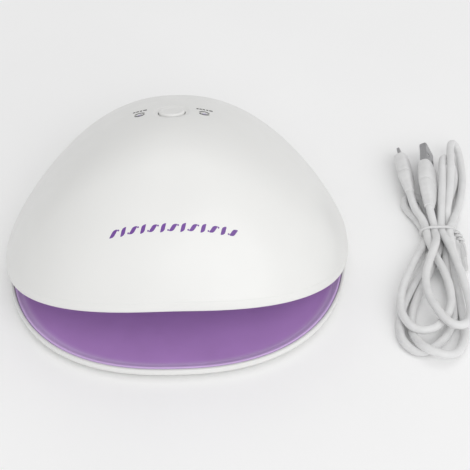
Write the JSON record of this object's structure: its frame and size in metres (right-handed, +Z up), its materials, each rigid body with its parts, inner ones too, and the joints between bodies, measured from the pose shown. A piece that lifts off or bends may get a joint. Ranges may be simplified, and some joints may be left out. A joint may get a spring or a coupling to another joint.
{
  "type": "uv led nail lamp",
  "caption": "Domed table-top nail curing lamp with an arched hand opening, purple floor tray, top button and a tied USB power cable.",
  "frame": {"origin": "on the table, under the centre of the lamp's bounding box, the loose cable left out", "axes": "+Z up, -Y out of the hand opening towards the user, +X to the user's right"},
  "size_m": [0.2505, 0.1744, 0.0861],
  "materials": {
    "shell_white": "moulded ABS, satin gloss",
    "reflector": "moulded ABS, bright and smooth",
    "tray_purple": "moulded ABS, lilac, satin gloss",
    "rubber": "soft matt rubber",
    "screw_steel": "zinc plated",
    "board_green": "glass-fibre board with green mask",
    "board_white": "white solder mask",
    "lens": "clear moulded lens",
    "dark_plastic": "black moulded",
    "nickel": "nickel plated sheet",
    "wire": "insulated wire",
    "tie": "plastic covered tie wire",
    "cord_white": "soft PVC, satin"
  },
  "bodies": {
    "lamp": {"base_screw_rear_left": "screw_steel", "base_screw_rear_right": "screw_steel", "base_screw_side_left": "screw_steel", "base_screw_side_right": "screw_steel", "base_shell": "shell_white", "board_screw_left": "screw_steel", "board_screw_right": "screw_steel", "control_board": "board_green", "driver_chip": "dark_plastic", "floor_tray": "tray_purple", "inner_reflector": "reflector", "led_bead_centre_1": "lens", "led_bead_centre_2": "lens", "led_bead_centre_3": "lens", "led_bead_centre_4": "lens", "led_bead_centre_5": "lens", "led_bead_centre_6": "lens", "led_bead_left_1": "lens", "led_bead_left_2": "lens", "led_bead_left_3": "lens", "led_bead_right_1": "lens", "led_bead_right_2": "lens", "led_bead_right_3": "lens", "led_board_centre": "board_white", "led_board_left": "board_white", "led_board_right": "board_white", "led_wire_centre": "wire", "led_wire_left": "wire", "led_wire_right": "wire", "power_socket": "nickel", "power_socket_tongue": "dark_plastic", "power_wire": "wire", "reflector_screw_left": "screw_steel", "reflector_screw_right": "screw_steel", "rubber_foot_front_left": "rubber", "rubber_foot_front_right": "rubber", "rubber_foot_rear_left": "rubber", "rubber_foot_rear_right": "rubber", "socket_board": "board_green", "switch_body": "dark_plastic", "timer_led_left": "board_white", "timer_led_right": "board_white", "timer_light_left": "lens", "timer_light_right": "lens", "upper_shell": "shell_white"},
    "button": {"power_button": "shell_white", "switch_plunger": "dark_plastic"},
    "cable": {"usb_a_shell": "nickel", "usb_a_tongue": "dark_plastic", "usb_a_overmold": "cord_white", "usb_a_lead": "cord_white", "micro_usb_shell": "nickel", "micro_usb_overmold": "cord_white", "micro_usb_lead": "cord_white", "hank_lower": "cord_white", "hank_upper": "cord_white", "hank_under": "cord_white", "cable_tie": "tie"}
  },
  "joints": [
    {"name": "button_press", "type": "slide", "parent": "lamp", "child": "button", "axis": [0, -0.319, -0.9478], "range_m": [0, 0.0008], "stiffness_N_per_m": 1800, "springref_m": -0.0002},
    {"name": "cable_lift", "type": "slide", "parent": "lamp", "child": "cable", "axis": [0, 0, 1], "range_m": [0, 0.1]}
  ]
}
